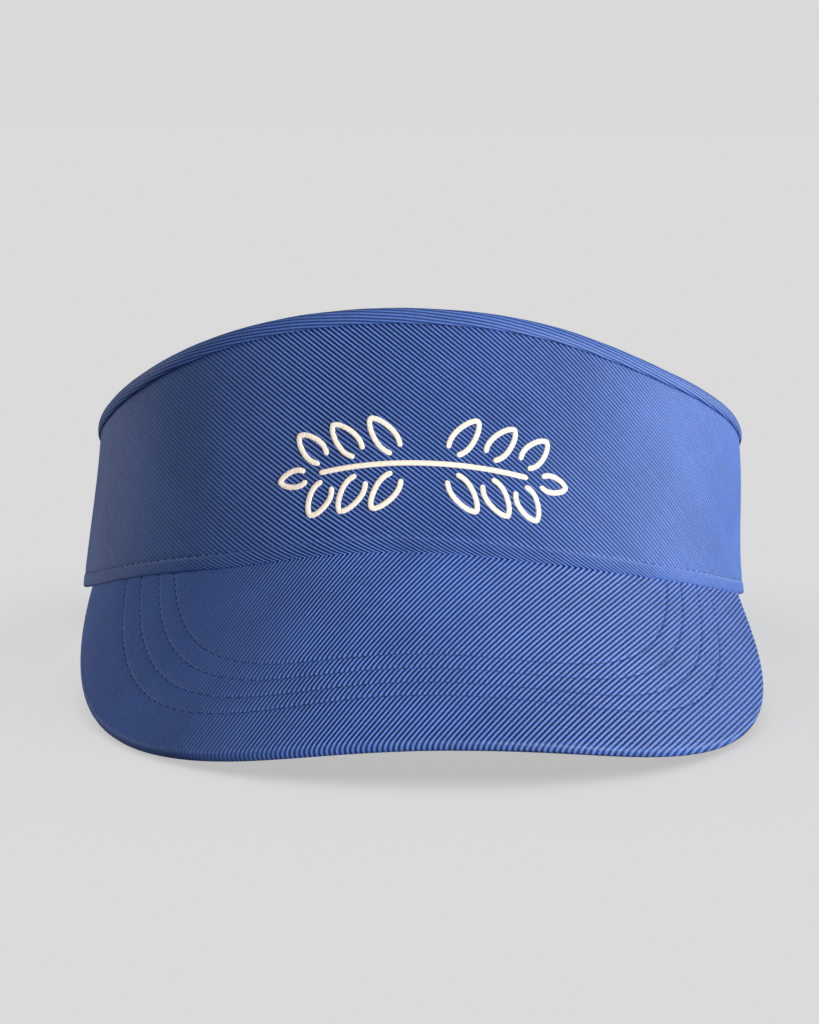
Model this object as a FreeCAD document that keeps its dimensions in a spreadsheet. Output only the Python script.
import FreeCAD, Part
import math
import os
import Sketcher

# Sun visor: an open-crown cap with a curved brim, a tall front panel, two rear
# bands and a strap with a cam-lever clasp at the back.  All lengths in mm.
#
# Wearing frame: origin at the centre of the head opening on the bands' base
# plane, +Z up through the crown, front towards -Y, the wearer's left at +X.
# "left" and "right" in the labels are as seen from the front: left is at -X.
# Each sub-part's Placement then pitches the visor about X so that it rests on
# the brim's two low corners and on the band ends.

os.makedirs("parts", exist_ok=True)
V = FreeCAD.Vector
doc = FreeCAD.newDocument("SunVisor")

# ---------------------------------------------------------------- driving sizes
DIMENSIONS = [
    ("pitch_angle", 9.07, "resting pitch about X, degrees"),
    ("half_width", 88.0, "head ring, outer half width at the base plane"),
    ("half_depth", 100.5, "head ring, outer front half depth at the base plane"),
    ("temple_back", 14.0, "centre of the rear arc and the temple hinge line, y"),
    ("temple_gap", 0.6, "clearance each side of the temple hinge line"),
    ("lean_front", 13.0, "inward lean of the panel at the front, degrees"),
    ("lean_side", 4.34, "inward lean of the panel at the temples, degrees"),
    ("band_end", 24.4, "band end, degrees from the rear centre"),
    ("rim_front", 68.1, "top edge height at the front"),
    ("rim_drop", 39.7, "top edge fall from front to temple, linear part"),
    ("rim_curl", -14.3, "top edge fall, quadratic part"),
    ("rim_rear", 29.5, "top edge height at the band ends"),
    ("shell_wall", 0.9, "outer twill thickness"),
    ("core_outer", 0.95, "stiffener or interlining, outer face depth"),
    ("core_inner", 2.05, "stiffener or interlining, inner face depth"),
    ("lining_outer", 2.12, "lining, outer face depth"),
    ("lining_inner", 2.70, "lining, inner face depth"),
    ("bind_height", 3.8, "binding height down each face"),
    ("bind_wall", 0.85, "binding cloth thickness"),
    ("sweat_outer", 2.92, "sweatband, outer face depth at the front"),
    ("sweat_wall", 1.6, "sweatband thickness"),
    ("sweat_rear", 5.8, "sweatband, outer face depth behind the temples"),
    ("sweat_top", 34.0, "sweatband height at the front"),
    ("brim_slope", 35.34, "brim's downward slope at its centre line, degrees"),
    ("brim_radius", 109.0, "brim's crown radius at the seam"),
    ("brim_flare", 0.207, "growth of the crown radius per mm towards the edge"),
    ("brim_seat", 9.45, "height of the brim's top face at the front seam"),
    ("brim_reach", 68.3, "brim length from seam to edge on the centre line"),
    ("brim_half", 99.7, "brim's half width measured round the crown"),
    ("brim_back", -62.0, "centre of the brim's outline curve, along the slope"),
    ("brim_power", 2.52, "exponent of the brim's outline curve"),
    ("brim_tuck", 2.55, "depth the brim is tucked under the panel"),
    ("cover_wall", 0.55, "brim cover thickness"),
    ("board_wall", 1.7, "brim board thickness"),
    ("board_inset", 1.0, "brim board edge, inset from the covers"),
    ("row_a_half", 64.4, "stitch row 1, half width measured round the crown"),
    ("row_a_reach", 37.7, "stitch row 1, distance from the seam on the centre line"),
    ("row_b_half", 69.0, "stitch row 2, half width measured round the crown"),
    ("row_b_reach", 42.6, "stitch row 2, distance from the seam on the centre line"),
    ("row_c_half", 74.8, "stitch row 3, half width measured round the crown"),
    ("row_c_reach", 47.5, "stitch row 3, distance from the seam on the centre line"),
    ("row_d_half", 80.4, "stitch row 4, half width measured round the crown"),
    ("row_d_reach", 52.0, "stitch row 4, distance from the seam on the centre line"),
    ("row_power", 3.3, "exponent of the stitch rows' curves"),
    ("hem_rise", 3.6, "hem stitching above the panel's bottom edge"),
    ("thread_rad", 0.22, "thread radius"),
    ("strap_inner", 83.45, "strap inner radius about the rear arc's centre"),
    ("strap_wall", 1.5, "strap thickness"),
    ("strap_bottom", 3.5, "strap lower edge height"),
    ("strap_width", 20.0, "strap width"),
    ("strap_tail", 50.0, "strap free end, degrees from the rear centre"),
    ("strap_root", 38.0, "strap sewn end, degrees from the rear centre"),
    ("frame_inner", 81.7, "clasp frame inner radius"),
    ("frame_outer", 88.9, "clasp frame outer radius"),
    ("frame_plate", 1.0, "clasp back plate thickness"),
    ("frame_rail", 1.2, "clasp side rail thickness"),
    ("frame_bottom", 1.6, "clasp frame lower face height"),
    ("frame_height", 23.8, "clasp frame height"),
    ("frame_left", 21.0, "clasp frame left end, degrees from the rear centre"),
    ("frame_span", 17.2, "clasp frame length, degrees"),
    ("bar_radius", 0.9, "tab bar radius"),
    ("bar_track", 86.9, "tab bar centre radius about the rear arc's centre"),
    ("bar_angle", 19.6, "tab bar centre, degrees from the rear centre"),
    ("pin_radius", 1.0, "lever pin radius"),
    ("pin_track", 87.25, "lever pin centre radius about the rear arc's centre"),
    ("pin_angle", 5.8, "lever pin centre, degrees from the rear centre"),
    ("lever_width", 20.6, "lever width"),
    ("lever_barrel", 1.95, "lever barrel radius"),
    ("lever_reach", 15.8, "lever length from the pin"),
    ("lever_plate", 0.9, "lever plate thickness"),
    ("lever_clear", 0.06, "radial running clearance on the pin"),
    ("tab_wall", 0.5, "tab tape thickness"),
    ("tab_width", 19.0, "tab tape width"),
    ("tab_root", 37.0, "tab sewn end, degrees from the rear centre"),
    ("label_length", 24.0, "blank size label length"),
    ("label_width", 13.0, "blank size label width"),
    ("label_wall", 0.4, "blank size label thickness"),
]
sheet = doc.addObject("Spreadsheet::Sheet", "Sizes")
for row, (name, value, note) in enumerate(DIMENSIONS, start=1):
    sheet.set("A%d" % row, name)
    sheet.set("B%d" % row, str(value))
    sheet.set("C%d" % row, note)
    sheet.setAlias("B%d" % row, name)
doc.recompute()
SIZE = {name: float(sheet.get(name)) for name, value, note in DIMENSIONS}

HALF_WIDTH, HALF_DEPTH = SIZE["half_width"], SIZE["half_depth"]
REAR_Y = SIZE["temple_back"]
SIDE_LEAN = math.tan(math.radians(SIZE["lean_side"]))
FRONT_LEAN = math.tan(math.radians(SIZE["lean_front"]))
BAND_LENGTH = REAR_Y + HALF_WIDTH * math.radians(90.0 - SIZE["band_end"])

# Top edge height and slope where the front ellipse meets the temple.
TEMPLE_RIM = SIZE["rim_front"] - SIZE["rim_drop"] - SIZE["rim_curl"]
TEMPLE_SLOPE = (SIZE["rim_drop"] + 2.0 * SIZE["rim_curl"]) / HALF_DEPTH
RIM_BEND = (TEMPLE_RIM - TEMPLE_SLOPE * BAND_LENGTH - SIZE["rim_rear"]) / BAND_LENGTH ** 2

SLOPE_COS = math.cos(math.radians(SIZE["brim_slope"]))
SLOPE_SIN = math.sin(math.radians(SIZE["brim_slope"]))
SEAM_Y = -(HALF_DEPTH - SIZE["brim_seat"] * FRONT_LEAN)

LAYER_DROP = 1.0       # cloth layers end this far below the finished top edge
SEAT_GAP = 0.12        # clearance between panel layers and the brim's top face
INNER_FOOT = 0.8       # bottom edge of the sweatband away from the front
INNER_RISE = 5.6       # extra height of that edge at the front centre
LINING_RISE = 0.6      # front lining's bottom edge above the sweatband's
BAND_FOOT = 0.3        # bottom edge of the bands' inner layers
CORE_END = 40.0        # rear end of the bands' interlining, degrees
SWEAT_SHIFT = 0.35     # extra depth of the sweatband at the front and temples
SWEAT_FALL = 3.0       # sweatband top edge, fall from front to temple
SWEAT_BAND_FALL = 9.0  # and the further fall along each band
BIND_GAP = 0.06        # clearance between binding and cloth layers
FRONT_LINING_OUTER = SIZE["lining_outer"] + 0.5
FRONT_LINING_INNER = SIZE["lining_inner"] + 0.3
THREAD_LIFT = SIZE["thread_rad"] + 0.05  # thread centre line above its face

REST = FreeCAD.Placement(V(0, 0, 0), FreeCAD.Rotation(V(1, 0, 0), -SIZE["pitch_angle"]))
SUBPARTS = []


def smooth(x):
    """Smooth step from 0 to 1 as x goes from 0 to 1."""
    x = min(1.0, max(0.0, x))
    return x * x * (3.0 - 2.0 * x)


# ---------------------------------------------------------------- ring surface
# A station of the ring is ("front", angle) on the front half ellipse,
# ("temple", side, y) on the straight run at a temple, or ("rear", side, angle)
# on the rear arc.  Front angles are from the front centre, rear angles from
# the rear centre, in degrees; side is +1 or -1, the sign of x.
def ring(station, z, depth):
    """Point at height z, depth mm inside the outer surface."""
    if station[0] == "front":
        angle = math.radians(station[1])
        x = (HALF_WIDTH - z * SIDE_LEAN) * math.sin(angle)
        y = -(HALF_DEPTH - z * FRONT_LEAN) * math.cos(angle)
        out_x, out_y = HALF_DEPTH * math.sin(angle), -HALF_WIDTH * math.cos(angle)
        length = math.hypot(out_x, out_y)
        return V(x - depth * out_x / length, y - depth * out_y / length, z)
    side = station[1]
    if station[0] == "temple":
        return V(side * (HALF_WIDTH - z * SIDE_LEAN - depth), station[2], z)
    # The lean fades out round the rear arc.
    lean = SIDE_LEAN * smooth((station[2] - 58.0) / 32.0)
    radius = HALF_WIDTH - z * lean - depth
    angle = math.radians(station[2])
    return V(side * radius * math.sin(angle), REAR_Y + radius * math.cos(angle), z)


def run_back(station):
    """Distance of a temple or rear station from the end of the front ellipse."""
    if station[0] == "temple":
        return station[2]
    return REAR_Y + HALF_WIDTH * math.radians(90.0 - station[2])


def rim(station):
    """Height of the finished top edge."""
    if station[0] == "front":
        fall = 1 - math.cos(math.radians(station[1]))
        return SIZE["rim_front"] - SIZE["rim_drop"] * fall - SIZE["rim_curl"] * fall ** 2
    run = run_back(station)
    return TEMPLE_RIM - TEMPLE_SLOPE * run - RIM_BEND * run * run


def layer_top(station):
    return rim(station) - LAYER_DROP


def sweat_depth(station):
    """Depth of the sweatband's outer face; deeper at the rear for the strap."""
    if station[0] != "rear":
        return SIZE["sweat_outer"] + SWEAT_SHIFT
    deepening = smooth((89.0 - station[2]) / 22.0)
    shift = SWEAT_SHIFT * smooth((station[2] - 66.0) / 23.0)
    return SIZE["sweat_outer"] + (SIZE["sweat_rear"] - SIZE["sweat_outer"]) * deepening + shift


def sweat_rim(station):
    """Height of the sweatband's top edge."""
    if station[0] == "front":
        return SIZE["sweat_top"] - SWEAT_FALL * (1 - math.cos(math.radians(station[1])))
    fall = SWEAT_BAND_FALL * smooth(run_back(station) / BAND_LENGTH)
    return SIZE["sweat_top"] - SWEAT_FALL - fall


# ---------------------------------------------------------------- brim surface
# Brim positions are (u, v): u measured round the crown, v down the slope from
# the seam.
def brim(u, v, depth=0.0):
    """Point of the brim's top face, or depth mm below it along its normal."""
    flare = SIZE["brim_flare"]
    radius = SIZE["brim_radius"] + flare * v
    angle = u / radius
    sin, cos = math.sin(angle), math.cos(angle)
    drop = radius * (1 - cos)
    point = V(radius * sin,
              SEAM_Y - v * SLOPE_COS + drop * SLOPE_SIN,
              SIZE["brim_seat"] - v * SLOPE_SIN - drop * SLOPE_COS)
    if depth == 0.0:
        return point
    drop_rate = flare * (1 - cos - angle * sin)
    along_u = V(cos, sin * SLOPE_SIN, -sin * SLOPE_COS)
    along_v = V(flare * sin - flare * angle * cos,
                -SLOPE_COS + drop_rate * SLOPE_SIN,
                -SLOPE_SIN - drop_rate * SLOPE_COS)
    normal = along_u.cross(along_v)
    normal.normalize()
    if normal.z > 0:
        normal = normal * -1.0
    return point + normal * depth


def crown_sine(x, radius):
    """Sine of the crown angle at x, kept clear of the vertical."""
    return max(-0.999, min(0.999, x / radius))


def brim_uv(x, y, depth=0.0):
    """Parameters (u, v) of the brim layer's point above plan position x, y."""
    target_x, target_y, v = x, y, 0.0
    for correction in range(1 if depth == 0.0 else 25):
        for step in range(60):
            radius = SIZE["brim_radius"] + SIZE["brim_flare"] * v
            sine = crown_sine(target_x, radius)
            drop = radius * (1 - math.sqrt(1 - sine * sine))
            v = (SEAM_Y - target_y + drop * SLOPE_SIN) / SLOPE_COS
        radius = SIZE["brim_radius"] + SIZE["brim_flare"] * v
        u = radius * math.asin(crown_sine(target_x, radius))
        if depth != 0.0:
            point = brim(u, v, depth)
            target_x += x - point.x
            target_y += y - point.y
    return u, v


def seat(station, depth):
    """Height of a panel layer's bottom edge where it stands on the brim."""
    z = 0.0
    for step in range(40):
        point = ring(station, z, depth)
        z = brim(*brim_uv(point.x, point.y)).z
    return z + SEAT_GAP


def panel_foot(station, depth):
    """Bottom edge of the panel's layers: on the brim, then down to z = 0."""
    if station[0] != "front":
        return 0.0
    weight = 1.0 - smooth((abs(station[1]) - 72.0) / 14.0)
    if weight <= 0.0:
        return 0.0
    return seat(station, depth) * weight


def inner_foot(station, depth):
    """Bottom edge of the sweatband, which hangs inside the brim's root."""
    if station[0] != "front":
        return INNER_FOOT
    return INNER_FOOT + INNER_RISE * math.cos(math.radians(station[1])) ** 2


def resample(points, count):
    """count points evenly spaced along a polyline of (u, v)."""
    run = [0.0]
    for start, end in zip(points, points[1:]):
        run.append(run[-1] + math.dist(start, end))
    result, j = [], 0
    for i in range(count):
        want = run[-1] * i / (count - 1.0)
        while j < len(run) - 2 and run[j + 1] < want:
            j += 1
        part = (want - run[j]) / (run[j + 1] - run[j])
        result.append(tuple(p + part * (q - p) for p, q in zip(points[j], points[j + 1])))
    return result


def outline(curve, power, inset, count):
    """Superellipse outline of the brim or of a stitch row, offset inwards, as
    (u, v) from the -u tip to the +u tip, trimmed where it runs under the panel.
    curve is the size names' prefix, power the name of the exponent."""
    exponent, half, back = SIZE[power], SIZE[curve + "_half"], SIZE["brim_back"]
    length = SIZE[curve + "_reach"] - back
    steps = 720
    dense = []
    for i in range(1, steps):
        angle = math.pi * (1.0 - i / float(steps))
        cos, sin = math.cos(angle), math.sin(angle)
        dense.append((math.copysign(abs(cos) ** (2.0 / exponent), cos) * half,
                      back + length * sin ** (2.0 / exponent)))
    keep = []
    for before, (u, v), after in zip(dense, dense[1:], dense[2:]):
        du, dv = after[0] - before[0], after[1] - before[1]
        chord = math.hypot(du, dv)
        u, v = u + inset * dv / chord, v - inset * du / chord
        point = brim(u, v)
        outside = math.hypot(point.x / (HALF_WIDTH - point.z * SIDE_LEAN),
                             point.y / (HALF_DEPTH - point.z * FRONT_LEAN))
        if outside > 0.9985 and point.y < 0:
            keep.append((u, v))
    return resample(keep, count)


# ---------------------------------------------------------------- solid helpers
def close_solid(faces):
    shell = Part.makeShell(faces)
    shell.sewShape()
    # Sewing may wrap the shell in a compound.
    if shell.ShapeType != "Shell":
        shell = shell.Shells[0]
    solid = Part.makeSolid(shell)
    if solid.Volume < 0:
        solid.reverse()
    return solid


def sweep_poly(sections):
    """Solid swept through the stations' polygons, with planar end caps."""
    centres = [sum(section, V(0, 0, 0)) * (1.0 / len(section)) for section in sections]
    params = [0.0]
    for start, end in zip(centres, centres[1:]):
        params.append(params[-1] + max(1e-6, (end - start).Length))
    params = [param / params[-1] for param in params]
    edges = []
    for i in range(len(sections[0])):
        curve = Part.BSplineCurve()
        curve.interpolate(Points=[section[i] for section in sections], Parameters=params)
        edges.append(curve.toShape())
    faces = [Part.makeRuledSurface(edge, following)
             for edge, following in zip(edges, edges[1:] + edges[:1])]
    for section in (sections[0], sections[-1]):
        faces.append(Part.Face(Part.makePolygon(list(section) + [section[0]])))
    return close_solid(faces)


def patch_solid(top, bottom):
    """Solid between two surfaces interpolated through matching point grids."""
    faces, borders = [], []
    for grid in (top, bottom):
        surface = Part.BSplineSurface()
        surface.interpolate(grid)
        faces.append(surface.toShape())
        u0, u1, v0, v1 = surface.bounds()
        borders.append([surface.uIso(u0).toShape(), surface.uIso(u1).toShape(),
                        surface.vIso(v0).toShape(), surface.vIso(v1).toShape()])
    for upper, lower in zip(*borders):
        faces.append(Part.makeRuledSurface(upper, lower))
    return close_solid(faces)


def new_subpart(kind, name):
    obj = doc.addObject(kind, name)
    obj.Label = name
    SUBPARTS.append(obj)
    return obj


def add_feature(name, shape):
    obj = new_subpart("Part::Feature", name)
    obj.Shape = shape
    obj.Placement = REST


TEMPLE_YS = [4.5, 9.0, REAR_Y - SIZE["temple_gap"]]
FRONT = ([("temple", -1, y) for y in reversed(TEMPLE_YS)]
         + [("front", float(angle)) for angle in range(-90, 91, 5)]
         + [("temple", 1, y) for y in TEMPLE_YS])
BAND_START = 90.0 - math.degrees(SIZE["temple_gap"] / HALF_WIDTH)


def band(side, end=SIZE["band_end"]):
    """Stations of a rear band from the temple to its rear end."""
    count = 14
    return [("rear", side, BAND_START + (end - BAND_START) * i / (count - 1.0))
            for i in range(count)]


def resolve(quantity, *place):
    """A quantity given either as a number or as a function of the place."""
    return quantity(*place) if callable(quantity) else quantity


def layer(stations, outer, inner, foot, top):
    """Curved sheet between two depths, from foot(station, depth) up to
    top(station).  The depths and the foot may also be numbers."""
    sections = []
    for station in stations:
        depth_out, depth_in = resolve(outer, station), resolve(inner, station)
        sections.append([ring(station, resolve(foot, station, depth_out), depth_out),
                         ring(station, resolve(foot, station, depth_in), depth_in),
                         ring(station, top(station), depth_in),
                         ring(station, top(station), depth_out)])
    return sweep_poly(sections)


def sweatband(stations):
    return layer(stations, sweat_depth,
                 lambda station: sweat_depth(station) + SIZE["sweat_wall"],
                 inner_foot, sweat_rim)


def binding(stations, lining_depth):
    """Rolled tape over the top edge, one leg down each face of the layers."""
    wall, height = SIZE["bind_wall"], SIZE["bind_height"]
    outer, inner = -BIND_GAP, lining_depth + BIND_GAP
    # Columns: depth, height above the top edge.
    profile = [
        (outer, -height), (outer - wall * 0.75, 0.1 - height), (outer - wall, 0.8 - height),
        (outer - wall, -1.2), (outer - wall * 0.55, -0.45), (outer + 0.45, 0.0),
        (inner - 0.45, 0.0), (inner + wall * 0.55, -0.45), (inner + wall, -1.2),
        (inner + wall, 0.8 - height), (inner + wall * 0.75, 0.1 - height), (inner, -height),
        (inner, -0.85), (outer, -0.85)]
    return sweep_poly([[ring(station, rim(station) + rise, depth) for depth, rise in profile]
                       for station in stations])


def thread(points, normals, radius, width_ratio=1.0):
    """Octagonal thread centred on points; radius is its half height along the
    normals, and its half width is width_ratio times that."""
    sections = []
    for k, point in enumerate(points):
        tangent = points[min(len(points) - 1, k + 1)] - points[max(0, k - 1)]
        tangent.normalize()
        normal = normals[k] - tangent * normals[k].dot(tangent)
        normal.normalize()
        across = tangent.cross(normal)
        section = []
        for j in range(8):
            turn = math.pi * (j + 0.5) / 4.0
            section.append(point + across * (radius * width_ratio * math.cos(turn))
                           + normal * (radius * math.sin(turn)))
        sections.append(section)
    return sweep_poly(sections)


def ring_normal(station):
    """Level outward normal of the ring."""
    normal = ring(station, 0.0, -1.0) - ring(station, 0.0, 0.0)
    normal.z = 0.0
    normal.normalize()
    return normal


def front_thread(height, depth):
    """Thread round the front panel at height(station) and a depth."""
    return thread([ring(station, height(station), depth) for station in FRONT],
                  [ring_normal(station) for station in FRONT], SIZE["thread_rad"])


# ---------------------------------------------------------------- front panel
def build_front_panel():
    add_feature("front_panel_shell",
                layer(FRONT, 0.0, SIZE["shell_wall"], panel_foot, layer_top))
    add_feature("front_panel_stiffener",
                layer(FRONT, SIZE["core_outer"], SIZE["core_inner"], panel_foot, layer_top))
    add_feature("front_panel_lining", layer(
        FRONT, FRONT_LINING_OUTER, FRONT_LINING_INNER,
        lambda station, depth: inner_foot(station, depth) + LINING_RISE, layer_top))
    add_feature("front_top_binding", binding(FRONT, FRONT_LINING_INNER))
    add_feature("front_sweatband", sweatband(FRONT))


def build_front_stitching():
    add_feature("front_hem_stitching", front_thread(
        lambda station: panel_foot(station, 0.0) + SIZE["hem_rise"], -THREAD_LIFT))
    add_feature("front_binding_stitching", front_thread(
        lambda station: rim(station) - SIZE["bind_height"] + 1.1,
        -BIND_GAP - SIZE["bind_wall"] - THREAD_LIFT))
    add_feature("front_sweatband_stitching", front_thread(
        lambda station: sweat_rim(station) - 2.0,
        SIZE["sweat_outer"] + SWEAT_SHIFT + SIZE["sweat_wall"] + THREAD_LIFT))


# ---------------------------------------------------------------- brim
GRID_ALONG, GRID_ACROSS = 61, 9
ROOT_HALF_ANGLE = 70.4  # front angle of the brim root's two ends
BRIM_PLY_GAP = 0.05


def brim_root(depth, inset):
    """Root edge, tucked under the panel, of the brim surface at a depth."""
    span = ROOT_HALF_ANGLE - inset * 0.5
    root = []
    for i in range(181):
        station = ("front", -span + 2 * span * i / 180.0)
        start = ring(station, 5.0, SIZE["brim_tuck"])
        z = brim(*brim_uv(start.x, start.y)).z
        for step in range(12):
            point = ring(station, z, SIZE["brim_tuck"])
            u, v = brim_uv(point.x, point.y, depth)
            z = brim(u, v, depth).z
        root.append((u, v))
    return resample(root, GRID_ALONG)


def brim_layer(top_depth, wall, inset):
    edge = outline("brim", "brim_power", inset, GRID_ALONG)
    grids = []
    for depth in (top_depth, top_depth + wall):
        grid = []
        for (root_u, root_v), (edge_u, edge_v) in zip(brim_root(depth, inset), edge):
            line = []
            for j in range(GRID_ACROSS):
                part = j / (GRID_ACROSS - 1.0)
                line.append(brim(root_u + part * (edge_u - root_u),
                                 root_v + part * (edge_v - root_v), depth))
            grid.append(line)
        grids.append(grid)
    return patch_solid(*grids)


def build_brim():
    cover, board = SIZE["cover_wall"], SIZE["board_wall"]
    board_depth = cover + BRIM_PLY_GAP
    under_depth = board_depth + board + BRIM_PLY_GAP
    add_feature("brim_top_cover", brim_layer(0.0, cover, 0.0))
    add_feature("brim_board", brim_layer(board_depth, board, SIZE["board_inset"]))
    add_feature("brim_under_cover", brim_layer(under_depth, cover, 0.0))


def build_brim_stitching():
    for number, letter in enumerate("abcd", start=1):
        # The end points are dropped so that the rows stop short of the panel.
        row = outline("row_" + letter, "row_power", 0.0, 57)[1:-1]
        points, normals = [], []
        for u, v in row:
            normal = brim(u, v) - brim(u, v, 1.0)
            normal.normalize()
            normals.append(normal)
            points.append(brim(u, v) + normal * THREAD_LIFT)
        add_feature("brim_stitch_row_%d" % number, thread(points, normals, SIZE["thread_rad"]))


# ---------------------------------------------------------------- motif
# A sprig of paired leaves on an arched stem, in flat chain-stitch strokes.  It
# is drawn flat as (distance from the front centre, height), then laid round.
MOTIF_HEIGHT = 25.0        # height at which distances round the panel are taken
ARC_STEP = 0.1             # degrees
STEM_HALF = 25.0
STEM_TOP = 31.0
STEM_FALL = 0.0042         # stem's fall per mm squared from the centre
LEAF_LEAN = 52.0           # degrees from the stem
LEAF_PAIRS = ((4.2, 10.4), (12.9, 9.8), (21.3, 8.8))  # place on the stem, length
STROKE_SEGMENTS = 24

ARC = [0.0]
for i in range(1, 901):
    chord = (ring(("front", i * ARC_STEP), MOTIF_HEIGHT, 0.0)
             - ring(("front", (i - 1) * ARC_STEP), MOTIF_HEIGHT, 0.0))
    ARC.append(ARC[-1] + chord.Length)


def front_angle(distance):
    """Front angle whose arc length from the front centre is distance."""
    length = abs(distance)
    i = next(i for i in range(1, len(ARC)) if ARC[i] >= length)
    part = (length - ARC[i - 1]) / (ARC[i] - ARC[i - 1])
    return math.copysign((i - 1 + part) * ARC_STEP, distance)


def stroke(flat_points):
    stations = [("front", front_angle(distance)) for distance, z in flat_points]
    points = [ring(station, z, -0.45) for station, (distance, z) in zip(stations, flat_points)]
    return thread(points, [ring_normal(station) for station in stations], 0.38, width_ratio=2.3)


def stem_height(distance):
    return STEM_TOP - STEM_FALL * distance * distance


def leaf(hand, place, lean, length, gap, half_width):
    """Open leaf outline; gap is between the stem and the leaf's base."""
    heading = math.atan(-2.0 * STEM_FALL * place) + math.radians(lean)
    cos, sin = math.cos(heading), math.sin(heading)
    points = []
    for i in range(STROKE_SEGMENTS + 1):
        turn = math.pi * (0.17 + 1.66 * i / STROKE_SEGMENTS)
        run = gap + length * 0.5 * (1.0 - math.cos(turn))
        across = half_width * math.sin(turn) * (1.0 - 0.18 * math.cos(turn) ** 3)
        points.append((hand * (place + cos * run - sin * across),
                       stem_height(place) + sin * run + cos * across))
    return stroke(points)


def build_motif():
    distances = [-STEM_HALF + 2 * STEM_HALF * i / STROKE_SEGMENTS
                 for i in range(STROKE_SEGMENTS + 1)]
    strokes = [stroke([(distance, stem_height(distance)) for distance in distances])]
    for hand in (-1, 1):
        for place, length in LEAF_PAIRS:
            for lean in (LEAF_LEAN, -LEAF_LEAN):
                strokes.append(leaf(hand, place, lean, length, gap=3.1, half_width=2.45))
        strokes.append(leaf(hand, STEM_HALF, 0.0, 7.0, gap=2.9, half_width=1.95))
    add_feature("embroidery_motif", Part.makeCompound(strokes))


# ---------------------------------------------------------------- rear bands
def band_end_row(side, angle):
    """Upright row of stitching on a band's outer face."""
    station = ("rear", side, angle)
    points = [ring(station, 1.6 + i * (rim(station) - 8.0) / 8.0, -THREAD_LIFT)
              for i in range(9)]
    return thread(points, [ring_normal(station)] * 9, SIZE["thread_rad"])


def build_band(side, word):
    whole = band(side)
    add_feature(word + "_band_shell", layer(whole, 0.0, SIZE["shell_wall"], 0.0, layer_top))
    add_feature(word + "_band_interlining", layer(
        band(side, end=CORE_END), SIZE["core_outer"], SIZE["core_inner"], BAND_FOOT, layer_top))
    add_feature(word + "_band_lining", layer(
        whole, SIZE["lining_outer"], SIZE["lining_inner"], BAND_FOOT, layer_top))
    add_feature(word + "_band_binding", binding(whole, SIZE["lining_inner"]))
    add_feature(word + "_sweatband", sweatband(whole))
    # Two rows of stitching up the band's end close the layers.
    add_feature(word + "_band_end_stitching", Part.makeCompound(
        [band_end_row(side, SIZE["band_end"] + inset) for inset in (1.3, 4.6)]))


# ---------------------------------------------------------------- body helpers
# A bound size is a pair: its value, and the expression that drives it or None.
ORIGIN = (-1, 1)


def bound(name):
    return SIZE[name], "Sizes." + name


def new_sketch(body, name, role):
    """Sketch on the body's origin plane with the given role."""
    plane = next(item for item in body.Origin.OriginFeatures if item.Role == role)
    sketch = body.newObject("Sketcher::SketchObject", name)
    sketch.AttachmentSupport = [(plane, "")]
    sketch.MapMode = "FlatFace"
    return sketch


def add_dimension(sketch, tag, kind, places, size):
    """Named constraint; places are the constraint's geometry indices."""
    value, expression = size
    index = sketch.addConstraint(Sketcher.Constraint(kind, *places, value))
    sketch.renameConstraint(index, tag)
    if expression:
        sketch.setExpression("Constraints." + tag, expression)


def add_polygon(sketch, corners):
    sketch.addGeometry([Part.LineSegment(V(*start, 0), V(*end, 0))
                        for start, end in zip(corners, corners[1:] + corners[:1])], False)
    for i in range(len(corners)):
        sketch.addConstraint(
            Sketcher.Constraint("Coincident", i, 2, (i + 1) % len(corners), 1))


def add_square_polygon(sketch, corners):
    """Polygon of alternating horizontal and vertical lines, horizontal first."""
    add_polygon(sketch, corners)
    for i in range(len(corners)):
        sketch.addConstraint(Sketcher.Constraint("Vertical" if i % 2 else "Horizontal", i))


def add_rectangle(sketch, left, bottom, width, height):
    """Axis-aligned rectangle from four bound sizes."""
    x0, y0 = left[0], bottom[0]
    x1, y1 = x0 + width[0], y0 + height[0]
    add_square_polygon(sketch, [(x0, y0), (x1, y0), (x1, y1), (x0, y1)])
    add_dimension(sketch, "left", "DistanceX", (*ORIGIN, 0, 1), left)
    add_dimension(sketch, "bottom", "DistanceY", (*ORIGIN, 0, 1), bottom)
    add_dimension(sketch, "width", "DistanceX", (0, 1, 0, 2), width)
    add_dimension(sketch, "height", "DistanceY", (1, 1, 1, 2), height)


def add_circle(sketch, x, y, radius):
    """Circle with a bound radius."""
    circle = sketch.addGeometry(Part.Circle(V(x, y, 0), V(0, 0, 1), radius[0]), False)
    if x == 0.0 and y == 0.0:
        sketch.addConstraint(Sketcher.Constraint("Coincident", circle, 3, *ORIGIN))
    else:
        sketch.addConstraint(Sketcher.Constraint("DistanceX", *ORIGIN, circle, 3, x))
        sketch.addConstraint(Sketcher.Constraint("DistanceY", *ORIGIN, circle, 3, y))
    add_dimension(sketch, "size", "Radius", (circle,), radius)


def revolve(body, name, sketch, angle):
    """Revolve about the vertical axis; angle is an expression."""
    feature = body.newObject("PartDesign::Revolution", name)
    feature.Profile = sketch
    feature.ReferenceAxis = (sketch, ["V_Axis"])
    feature.setExpression("Angle", angle)
    doc.recompute()


def pad(body, name, sketch, length):
    """Pad upwards; length is an expression."""
    feature = body.newObject("PartDesign::Pad", name)
    feature.Profile = sketch
    feature.setExpression("Length", length)
    doc.recompute()


def pocket(body, name, sketch, length):
    """Cut upwards from the sketch; length is an expression."""
    before = body.Shape.Volume
    feature = body.newObject("PartDesign::Pocket", name)
    feature.Profile = sketch
    feature.setExpression("Length", length)
    feature.Reversed = True
    doc.recompute()
    if not body.Shape.Volume < before - 0.1:
        raise RuntimeError("%s cut nothing" % name)


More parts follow.
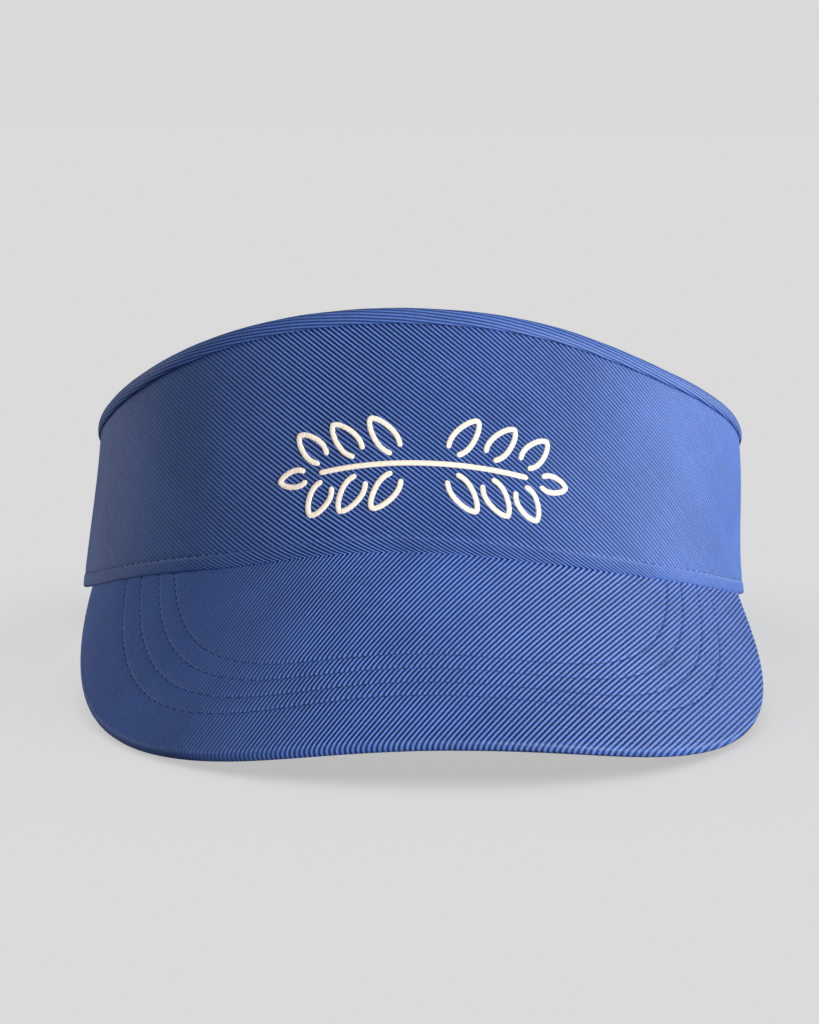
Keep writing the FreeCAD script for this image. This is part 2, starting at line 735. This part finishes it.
def arc_place(angle, z=0.0, radius=0.0):
    """Placement at a radius about the rear arc's centre, local +X outwards, at
    an angle from the rear centre that is positive towards +X."""
    turn = math.radians(angle)
    point = V(radius * math.sin(turn), REAR_Y + radius * math.cos(turn), z)
    return REST.multiply(
        FreeCAD.Placement(point, FreeCAD.Rotation(V(0, 0, 1), 90.0 - angle)))


# ---------------------------------------------------------------- clasp and strap
def build_strap():
    """Flat webbing bent to the rear arc, sewn into the right band."""
    strap = new_subpart("PartDesign::Body", "adjuster_strap")
    sketch = new_sketch(strap, "strap_section", "XZ_Plane")
    add_rectangle(sketch, left=bound("strap_inner"), bottom=bound("strap_bottom"),
                  width=bound("strap_wall"), height=bound("strap_width"))
    revolve(strap, "strap_arc", sketch, "Sizes.strap_tail + Sizes.strap_root")
    strap.Placement = arc_place(SIZE["strap_root"])


def build_frame():
    """Clasp frame: curved channel with two side rails, a back plate and the tab bar."""
    frame = new_subpart("PartDesign::Body", "buckle_frame")
    inner, outer = SIZE["frame_inner"], SIZE["frame_outer"]
    plate, rail = SIZE["frame_plate"], SIZE["frame_rail"]
    bottom = SIZE["frame_bottom"]
    top = bottom + SIZE["frame_height"]
    low, high = bottom + rail, top - rail
    sketch = new_sketch(frame, "channel_section", "XZ_Plane")
    add_square_polygon(sketch, [
        (inner, bottom), (outer, bottom), (outer, low), (inner + plate, low),
        (inner + plate, high), (outer, high), (outer, top), (inner, top)])
    for tag, kind, places, size in (
            ("inner", "DistanceX", (*ORIGIN, 0, 1), bound("frame_inner")),
            ("foot", "DistanceY", (*ORIGIN, 0, 1), bound("frame_bottom")),
            ("depth", "DistanceX", (0, 1, 0, 2),
             (outer - inner, "Sizes.frame_outer - Sizes.frame_inner")),
            ("railone", "DistanceY", (1, 1, 1, 2), bound("frame_rail")),
            ("plate", "DistanceX", (7, 2, 3, 1), bound("frame_plate")),
            ("gapwide", "DistanceY", (3, 1, 3, 2),
             (high - low, "Sizes.frame_height - 2 * Sizes.frame_rail")),
            ("railtwo", "DistanceY", (5, 1, 5, 2), bound("frame_rail"))):
        add_dimension(sketch, tag, kind, places, size)
    revolve(frame, "channel_arc", sketch, "Sizes.frame_span")

    # Local angles in the frame run from its +X end round to its -X end.
    start = SIZE["frame_left"] - SIZE["frame_span"]

    def local_point(track, angle):
        turn = math.radians(SIZE[angle] - start)
        return SIZE[track] * math.cos(turn), SIZE[track] * math.sin(turn)

    bar_point = local_point("bar_track", "bar_angle")
    sketch = new_sketch(frame, "bar_circle", "XY_Plane")
    add_circle(sketch, *bar_point, bound("bar_radius"))
    pad(frame, "tab_bar", sketch, "Sizes.frame_bottom + Sizes.frame_height - 0.05")

    sketch = new_sketch(frame, "pin_holes", "XY_Plane")
    add_circle(sketch, *local_point("pin_track", "pin_angle"),
               (SIZE["pin_radius"] + 0.02, "Sizes.pin_radius + 0.02"))
    pocket(frame, "pin_hole_cut", sketch, "Sizes.frame_bottom + Sizes.frame_height + 5")

    # The bar reaches down to the sketch plane; the stub below the frame is cut off.
    sketch = new_sketch(frame, "stub_circle", "XY_Plane")
    add_circle(sketch, *bar_point, (SIZE["bar_radius"] + 0.5, "Sizes.bar_radius + 0.5"))
    pocket(frame, "bar_stub_cut", sketch, "Sizes.frame_bottom")
    frame.Placement = arc_place(-start)


def build_lever_pin():
    """Pin riveted through both rails, with a shallow head outside each."""
    shank = doc.addObject("Part::Cylinder", "pin_shank")
    shank.setExpression("Radius", "Sizes.pin_radius")
    shank.setExpression("Height", "Sizes.frame_height + 0.8")
    shank.Placement.Base = V(0, 0, -0.4)
    shapes = [shank]
    # Columns: name, lower and upper radius over the pin's radius, base height.
    for name, lower, upper, z in (("pin_head_low", 1.05, 1.55, -0.45),
                                  ("pin_head_high", 1.55, 1.05, SIZE["frame_height"] + 0.05)):
        head = doc.addObject("Part::Cone", name)
        head.setExpression("Radius1", "Sizes.pin_radius * %g" % lower)
        head.setExpression("Radius2", "Sizes.pin_radius * %g" % upper)
        head.Height = 0.4
        head.Placement.Base = V(0, 0, z)
        shapes.append(head)
    pin = new_subpart("Part::MultiFuse", "lever_pin")
    pin.Shapes = shapes
    doc.recompute()
    pin.Placement = arc_place(-SIZE["pin_angle"], SIZE["frame_bottom"], SIZE["pin_track"])


def build_lever():
    """Cam lever: barrel and cam lobe on the pin, a plate over the strap, a thumb lip."""
    lever = new_subpart("PartDesign::Body", "buckle_lever")
    barrel, wall, reach = SIZE["lever_barrel"], SIZE["lever_plate"], SIZE["lever_reach"]
    sketch = new_sketch(lever, "barrel_circle", "XY_Plane")
    add_circle(sketch, 0.0, 0.0, bound("lever_barrel"))
    pad(lever, "barrel", sketch, "Sizes.lever_width")

    # Fall of the pin's track, over the lever's reach, below its tangent.
    drop = -(reach * reach) / (2.0 * SIZE["pin_track"])
    # Columns: distance outwards from the pin, distance along the lever.
    profile = [
        (barrel * 0.99, 0.0),
        (barrel * 0.95, 0.5 * reach - 1.0),
        (barrel + drop * 0.62, reach - 3.2),
        (barrel + drop * 0.35, reach - 0.8),
        (barrel + drop * 0.10, reach),
        (barrel + drop * 0.10 - wall * 0.9, reach + 0.1),
        (barrel + drop * 0.45 - wall, reach - 0.9),
        (barrel + drop * 0.62 - wall, reach - 2.9),
        (barrel * 0.95 - wall, 0.5 * reach - 1.0),
        (barrel - wall - 0.3, 1.2),
        (0.4, 1.4),
        (0.4, 0.0)]
    sketch = new_sketch(lever, "plate_profile", "XY_Plane")
    add_polygon(sketch, profile)
    for i, (x, y) in enumerate(profile):
        sketch.addConstraint(Sketcher.Constraint("DistanceX", *ORIGIN, i, 1, x))
        sketch.addConstraint(Sketcher.Constraint("DistanceY", *ORIGIN, i, 1, y))
    pad(lever, "plate", sketch, "Sizes.lever_width")

    sketch = new_sketch(lever, "lobe_circle", "XY_Plane")
    add_circle(sketch, -0.28, 0.55, (barrel * 0.94, "Sizes.lever_barrel * 0.94"))
    pad(lever, "cam_lobe", sketch, "Sizes.lever_width")

    sketch = new_sketch(lever, "bore_circle", "XY_Plane")
    add_circle(sketch, 0.0, 0.0, (SIZE["pin_radius"] + SIZE["lever_clear"],
                                  "Sizes.pin_radius + Sizes.lever_clear"))
    pocket(lever, "bore", sketch, "Sizes.lever_width + 2")
    z = SIZE["frame_bottom"] + (SIZE["frame_height"] - SIZE["lever_width"]) / 2.0
    lever.Placement = arc_place(-SIZE["pin_angle"], z, SIZE["pin_track"])


def build_tab():
    """Tape looped round the bar and sewn between the left band's layers."""
    tab = new_subpart("PartDesign::Body", "buckle_tab")
    eye = SIZE["bar_radius"] + 0.06
    sketch = new_sketch(tab, "loop_circles", "XY_Plane")
    add_circle(sketch, SIZE["bar_track"], 0.0,
               (eye + SIZE["tab_wall"], "Sizes.bar_radius + 0.06 + Sizes.tab_wall"))
    pad(tab, "loop", sketch, "Sizes.tab_width")

    sketch = new_sketch(tab, "tail_section", "XZ_Plane")
    add_rectangle(
        sketch,
        left=(HALF_WIDTH - SIZE["core_inner"] + 0.03,
              "Sizes.half_width - Sizes.core_inner + 0.03"),
        bottom=(0.0, None),
        width=(SIZE["core_inner"] - SIZE["core_outer"] - 0.03,
               "Sizes.core_inner - Sizes.core_outer - 0.03"),
        height=bound("tab_width"))
    revolve(tab, "tail_arc", sketch, "Sizes.tab_root - Sizes.bar_angle")

    sketch = new_sketch(tab, "eye_circle", "XY_Plane")
    add_circle(sketch, SIZE["bar_track"], 0.0, (eye, "Sizes.bar_radius + 0.06"))
    pocket(tab, "eye_cut", sketch, "Sizes.tab_width + 2")
    z = SIZE["strap_bottom"] + (SIZE["strap_width"] - SIZE["tab_width"]) / 2.0
    tab.Placement = arc_place(-SIZE["bar_angle"], z)


def build_size_label():
    """Blank label sewn to the inside of the left sweatband."""
    label = new_subpart("PartDesign::Body", "size_label")
    sweat_inner = "Sizes.half_width - Sizes.sweat_rear - Sizes.sweat_wall"
    radius = (HALF_WIDTH - SIZE["sweat_rear"] - SIZE["sweat_wall"] - 0.05
              - SIZE["label_wall"])
    sketch = new_sketch(label, "label_section", "XZ_Plane")
    add_rectangle(sketch, left=(radius, sweat_inner + " - 0.05 - Sizes.label_wall"),
                  bottom=(4.5, None), width=bound("label_wall"), height=bound("label_width"))
    revolve(label, "label_arc", sketch, "Sizes.label_length / (%s) * 180 / pi" % sweat_inner)
    label.Placement = arc_place(-33.0)


build_front_panel()
build_brim()
build_brim_stitching()
build_front_stitching()
build_motif()
build_band(-1, "left")
build_band(1, "right")
build_strap()
build_frame()
build_lever_pin()
build_lever()
build_tab()
build_size_label()

# ---------------------------------------------------------------- checks, export
doc.recompute()
for obj in doc.Objects:
    bad = [state for state in obj.State if state in ("Invalid", "Error")]
    if bad:
        raise RuntimeError("%s is %s" % (obj.Label, bad))
for obj in SUBPARTS:
    shape = obj.Shape
    if shape.isNull() or not shape.isValid():
        raise RuntimeError("%s has no valid shape" % obj.Label)
    if not shape.Solids:
        raise RuntimeError("%s has no solid" % obj.Label)
    if any(solid.Volume <= 0 for solid in shape.Solids):
        raise RuntimeError("%s has a solid of no volume" % obj.Label)
for obj in SUBPARTS:
    obj.Shape.exportStep(os.path.join("parts", obj.Label + ".step"))
